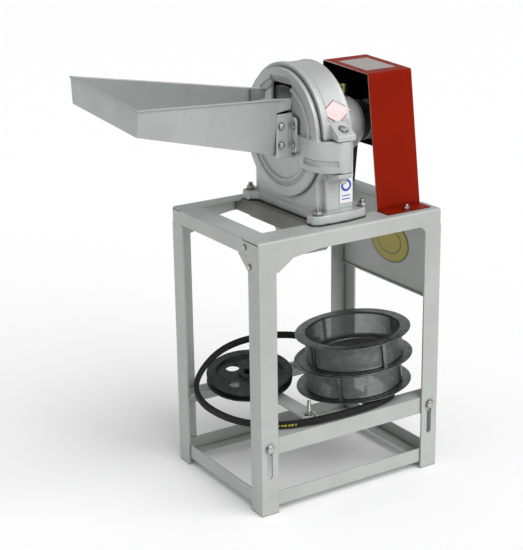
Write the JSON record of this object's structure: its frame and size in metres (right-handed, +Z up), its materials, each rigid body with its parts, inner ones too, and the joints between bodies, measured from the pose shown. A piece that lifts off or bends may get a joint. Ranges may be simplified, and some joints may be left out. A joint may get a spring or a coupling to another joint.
{
  "type": "belt-driven claw-disc grain mill",
  "caption": "Grain mill on an open steel stand: side-hinged drum with claw rotor, long feed tray, belt guard, sliding motor shelf, spare sieves, pulley and belt.",
  "frame": {"origin": "on the floor, under the middle of the overall box", "axes": "+X from the feed tray along the shaft to the belt guard, +Y to the side away from the door hinge, +Z up"},
  "size_m": [0.68, 0.3514, 0.886],
  "materials": {
    "stand_paint": "satin",
    "casting_paint": "semi-gloss over a sand-cast texture",
    "tray_paint": "satin",
    "guard_paint": "gloss",
    "sieve_steel": "dark, oiled",
    "bare_iron": "as cast, oiled",
    "bright_steel": "turned",
    "zinc": "zinc plated",
    "cup_brass": "machined",
    "belt_rubber": "matte",
    "felt_seal": "felt",
    "gasket_board": "matte",
    "knob_plastic": "moulded"
  },
  "bodies": {
    "stand_and_mill": {"leg_near_front": "stand_paint", "leg_near_rear": "stand_paint", "leg_far_front": "stand_paint", "leg_far_rear": "stand_paint", "top_rail_near": "stand_paint", "top_rail_far": "stand_paint", "top_rail_front": "stand_paint", "top_rail_rear": "stand_paint", "bottom_rail_near": "stand_paint", "bottom_rail_far": "stand_paint", "bottom_rail_front": "stand_paint", "bottom_rail_rear": "stand_paint", "corner_gusset": "stand_paint", "gusset_bolts": "zinc", "rear_panel": "stand_paint", "mill_cross_plate": "stand_paint", "discharge_chute": "stand_paint", "base_gasket": "gasket_board", "mill_housing": "casting_paint", "base_bolts": "zinc", "bearing_housing": "casting_paint", "shaft_bearings": "bright_steel", "bearing_cover": "casting_paint", "cover_screws": "zinc", "shaft_seal": "felt_seal", "grease_cup": "cup_brass", "hinge_pin": "bright_steel", "clamp_pin": "bright_steel", "chamber_sieve_frame": "sieve_steel", "chamber_sieve_screen": "sieve_steel", "belt_guard": "guard_paint", "guard_bolts": "zinc"},
    "rotor": {"main_shaft": "bright_steel", "claw_disc": "bare_iron", "rotor_claws": "bare_iron", "rotor_nut": "zinc", "mill_pulley": "bare_iron", "pulley_key": "bright_steel", "pulley_nut": "zinc"},
    "door_and_tray": {"door": "casting_paint", "fixed_disc": "bare_iron", "feed_box": "casting_paint", "hopper": "tray_paint", "feed_bolts": "zinc"},
    "door_clamp": {"swing_bolt": "zinc"},
    "clamp_nut": {"clamp_knob": "knob_plastic"},
    "grease_cap": {"grease_cap": "cup_brass"},
    "motor_shelf": {"shelf_rail_near": "stand_paint", "shelf_rail_far": "stand_paint", "shelf_bars": "stand_paint", "shelf_clamp_bolts": "zinc", "bar_bolts": "zinc", "motor_bolts": "zinc", "drive_belt": "belt_rubber"},
    "loose_pulley": {"motor_pulley": "bare_iron"},
    "lower_sieve": {"lower_sieve_frame": "sieve_steel", "lower_sieve_screen": "sieve_steel"},
    "upper_sieve": {"upper_sieve_frame": "sieve_steel", "upper_sieve_screen": "sieve_steel", "spare_disc": "bare_iron"}
  },
  "joints": [
    {"name": "rotor_spin", "type": "hinge", "parent": "stand_and_mill", "child": "rotor", "pos_m": [0.18, 0, 0.746], "axis": [1, 0, 0], "continuous": true},
    {"name": "door_swing", "type": "hinge", "parent": "stand_and_mill", "child": "door_and_tray", "pos_m": [0.104, -0.152, 0.719], "axis": [0, 0, 1], "range_deg": [0, 110]},
    {"name": "clamp_swing", "type": "hinge", "parent": "stand_and_mill", "child": "door_clamp", "pos_m": [0.112, 0.15, 0.746], "axis": [0, 0, 1], "range_deg": [0, 180]},
    {"name": "knob_turn", "type": "hinge", "parent": "door_clamp", "child": "clamp_nut", "pos_m": [0.178, 0.15, 0.746], "axis": [1, 0, 0], "range_deg": [0, 360]},
    {"name": "grease_cap_turn", "type": "hinge", "parent": "stand_and_mill", "child": "grease_cap", "pos_m": [0.21, 0, 0.816], "axis": [0, 0, 1], "range_deg": [0, 360]},
    {"name": "shelf_height", "type": "slide", "parent": "stand_and_mill", "child": "motor_shelf", "axis": [0, 0, 1], "range_m": [-0.06, 0]},
    {"name": "motor_pulley_lift", "type": "slide", "parent": "motor_shelf", "child": "loose_pulley", "axis": [0, 0, 1], "range_m": [0, 0.01]},
    {"name": "lower_sieve_lift", "type": "slide", "parent": "motor_shelf", "child": "lower_sieve", "axis": [0, 0, 1], "range_m": [0, 0.02]},
    {"name": "upper_sieve_lift", "type": "slide", "parent": "lower_sieve", "child": "upper_sieve", "axis": [0, 0, 1], "range_m": [0, 0.03]}
  ]
}
